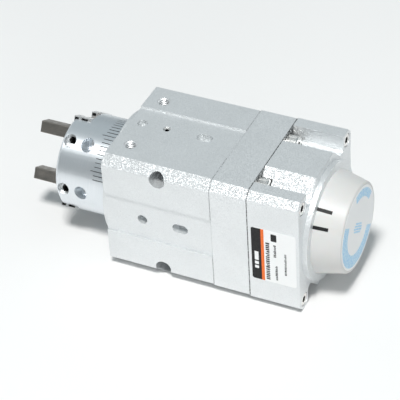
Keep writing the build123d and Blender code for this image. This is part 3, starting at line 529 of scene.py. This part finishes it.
STRIPE_WIDTH, ACCENT_WIDTH, CORNER = 3.9 * MM, 1.2 * MM, 0.9 * MM
stripe = bmesh.new()
slab(stripe, rounded(0, 0, STRIPE_WIDTH, label_height, (CORNER, 0, 0, CORNER)), 0, FILM, label_place)
piece("label_dark_stripe", stripe, "housing", looks["black_print"])

accent = bmesh.new()
slab(accent, rectangle(STRIPE_WIDTH, 0, STRIPE_WIDTH + ACCENT_WIDTH, label_height), 0, FILM, label_place)
piece("label_accent_stripe", accent, "housing", orange_print)

light_block = bmesh.new()
for start, end in ((5.2, 6.6), (7.2, 8.6), (9.2, 13.4)):
    outline = rounded(1.2 * MM, start * MM, 2.8 * MM, end * MM, (0.25 * MM,) * 4)
    slab(light_block, outline, FILM, FILM, label_place)
piece("label_light_block", light_block, "housing", looks["label_film"])

# Each row of bars: place across the label, height, start, end, and the usual length of a bar, in mm
bars = bmesh.new()
bar_rows = (
    (6.5, 1.5, 1.0, 19.6, 1.05), (9.4, 1.0, 12.6, 18.6, 0.8), (9.9, 0.9, 1.6, 8.4, 0.7),
    (13.6, 0.8, 5.0, 15.5, 0.65),
)
for across, height, start, end, glyph in bar_rows:
    run = start
    while run + 0.5 * glyph < end:
        length = glyph * random.uniform(0.45, 0.8)
        inset = random.choice((0.0, 0.0, 0.25)) * height
        outline = rectangle(
            (across - height / 2 + inset) * MM, run * MM, (across + height / 2) * MM, (run + length) * MM)
        slab(bars, outline, 0, FILM, label_place)
        run += length + glyph * random.uniform(0.22, 0.4)
piece("label_bars", bars, "housing", looks["black_print"])

block = bmesh.new()
slab(block, rounded(7.9 * MM, 20.0 * MM, 10.2 * MM, 23.4 * MM, (0.3 * MM,) * 4), 0, FILM, label_place)
piece("label_block", block, "housing", looks["black_print"])

# The sticker: its film, sunk in the same way, then a band around its lower half, an arc above,
# and a small block
PRINT_TURN = math.radians(-34)
sticker_place = on_plane(
    Vector((sticker_high.x - SUNK, 0, 0)),
    Vector((0, math.cos(PRINT_TURN), math.sin(PRINT_TURN))),
    Vector((0, -math.sin(PRINT_TURN), math.cos(PRINT_TURN))))
sticker_depth = sticker_high.x - sticker_low.x - SUNK
sticker_base = bmesh.new()
sticker_outline = [
    (sticker_high.y * math.cos(math.pi * k / 64), sticker_high.y * math.sin(math.pi * k / 64))
    for k in range(128)
]
slab(sticker_base, sticker_outline, -sticker_depth, sticker_depth, sticker_place)
sticker_disc = piece("sticker_disc", sticker_base, "housing", looks["sticker_film"])
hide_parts("cap_sticker")


def band(builder, inner, outer, start, end, place, steps=48):
    """Adds a flat arc between two radii, from one angle to another in degrees."""
    angles = [math.radians(start + (end - start) * k / steps) for k in range(steps + 1)]
    outline = [(outer * math.cos(a), outer * math.sin(a)) for a in angles]
    outline += [(inner * math.cos(a), inner * math.sin(a)) for a in reversed(angles)]
    low = [builder.verts.new(place @ Vector((x, y, 0))) for x, y in outline]
    high = [builder.verts.new(place @ Vector((x, y, FILM))) for x, y in outline]
    count = len(outline)
    for i in range(count):
        builder.faces.new((low[i], low[(i + 1) % count], high[(i + 1) % count], high[i]))
    for i in range(steps):
        j = count - 1 - i
        builder.faces.new((high[i], high[i + 1], high[j - 1], high[j]))
        builder.faces.new((low[j], low[j - 1], low[i + 1], low[i]))


print_blue = bmesh.new()
band(print_blue, 10.8 * MM, 15.8 * MM, 178, 362, sticker_place, 96)
band(print_blue, 12.2 * MM, 15.6 * MM, 60, 130, sticker_place, 48)
for row, half_width in enumerate((3.9, 4.6, 4.2, 3.4)):
    low_edge = (-2.0 + row * 1.05) * MM
    slab(print_blue, rectangle(-half_width * MM, low_edge, half_width * MM, low_edge + 0.75 * MM),
         0, FILM, sticker_place)
piece("sticker_print", print_blue, "housing", blue_print)


# ---------------------------------------------------------------------------------------------
# Stage: floor, lights and camera
# ---------------------------------------------------------------------------------------------
FLOOR_HALF, FLOOR_GAP = 3.0, 0.02 * MM
floor_mesh = bmesh.new()
bmesh.ops.create_grid(floor_mesh, x_segments=1, y_segments=1, size=FLOOR_HALF)
paper = Surface("floor_paper", (0.885, 0.876, 0.87), roughness=0.7)
paper.tint(paper.noise(0.25, 2.0), (0.90, 0.892, 0.886))
paper.set(Specular_IOR_Level=0.2)
floor = placed("floor", floor_mesh, paper.material)
floor.location = (0, 0, cad_low.z - FLOOR_GAP)


def area_light(name, direction, distance, size, power, color=(1, 1, 1)):
    light = bpy.data.lights.new(name, "AREA")
    light.shape = "DISK"
    light.size = size
    light.energy = power
    light.color = color
    lamp = bpy.data.objects.new(name, light)
    toward = Vector(direction).normalized()
    lamp.location = centre + toward * distance
    lamp.rotation_mode = "QUATERNION"
    lamp.rotation_quaternion = (-toward).to_track_quat("-Z", "Y")
    bpy.context.scene.collection.objects.link(lamp)
    return lamp


centre = (cad_low + cad_high) / 2
area_light("key", (0.09, -0.365, 0.926), 1.6, 0.34, 21, (1.0, 0.995, 0.98))
area_light("fill", (0.62, -0.75, 0.22), 1.8, 0.9, 3.2, (1.0, 1.0, 1.0))

# Soft surroundings: dim near the horizon, brighter overhead and behind the part
world = bpy.data.worlds.new("studio")
world.use_nodes = True
sky_tree = world.node_tree
direction = sky_tree.nodes.new("ShaderNodeTexCoord").outputs["Generated"]
parts = sky_tree.nodes.new("ShaderNodeSeparateXYZ")
sky_tree.links.new(direction, parts.inputs["Vector"])


def sky_range(value, low, high, start, end):
    limits = sky_tree.nodes.new("ShaderNodeMapRange")
    for key, number in (("From Min", start), ("From Max", end), ("To Min", low), ("To Max", high)):
        limits.inputs[key].default_value = number
    sky_tree.links.new(value, limits.inputs["Value"])
    return limits.outputs["Result"]


strength = sky_tree.nodes.new("ShaderNodeMath")
sky_tree.links.new(sky_range(parts.outputs["Z"], 0.16, 0.34, -0.05, 0.8), strength.inputs[0])
sky_tree.links.new(sky_range(parts.outputs["Y"], -0.02, 0.12, -0.6, 0.7), strength.inputs[1])
sky = sky_tree.nodes["Background"]
sky.inputs["Color"].default_value = (0.83, 0.95, 1.0, 1)
sky_tree.links.new(strength.outputs["Value"], sky.inputs["Strength"])
bpy.context.scene.world = world
bpy.context.scene.view_settings.view_transform = "Standard"

# The camera: azimuth and elevation of the photograph's view, with its slight roll
AZIMUTH, ELEVATION, ROLL = math.radians(27.2), math.radians(39.0), math.radians(-3.75)
DISTANCE, FOCAL_PIXELS, FRAME_PIXELS = 0.737, 1900.0, 400.0
camera_data = bpy.data.cameras.new("camera")
camera_data.sensor_width = 36.0
camera_data.lens = camera_data.sensor_width * FOCAL_PIXELS / FRAME_PIXELS
camera_data.clip_start = 0.05
camera = bpy.data.objects.new("camera", camera_data)
back = Vector((
    math.sin(AZIMUTH) * math.cos(ELEVATION),
    -math.cos(AZIMUTH) * math.cos(ELEVATION),
    math.sin(ELEVATION),
))
turn = (-back).to_track_quat("-Z", "Y").to_matrix() @ Matrix.Rotation(ROLL, 3, "Z")
aim = Vector((0.0275, 0.0, -0.006))
camera.location = aim + back * DISTANCE
camera.rotation_mode = "QUATERNION"
camera.rotation_quaternion = turn.to_quaternion()
bpy.context.scene.collection.objects.link(camera)
bpy.context.scene.camera = camera
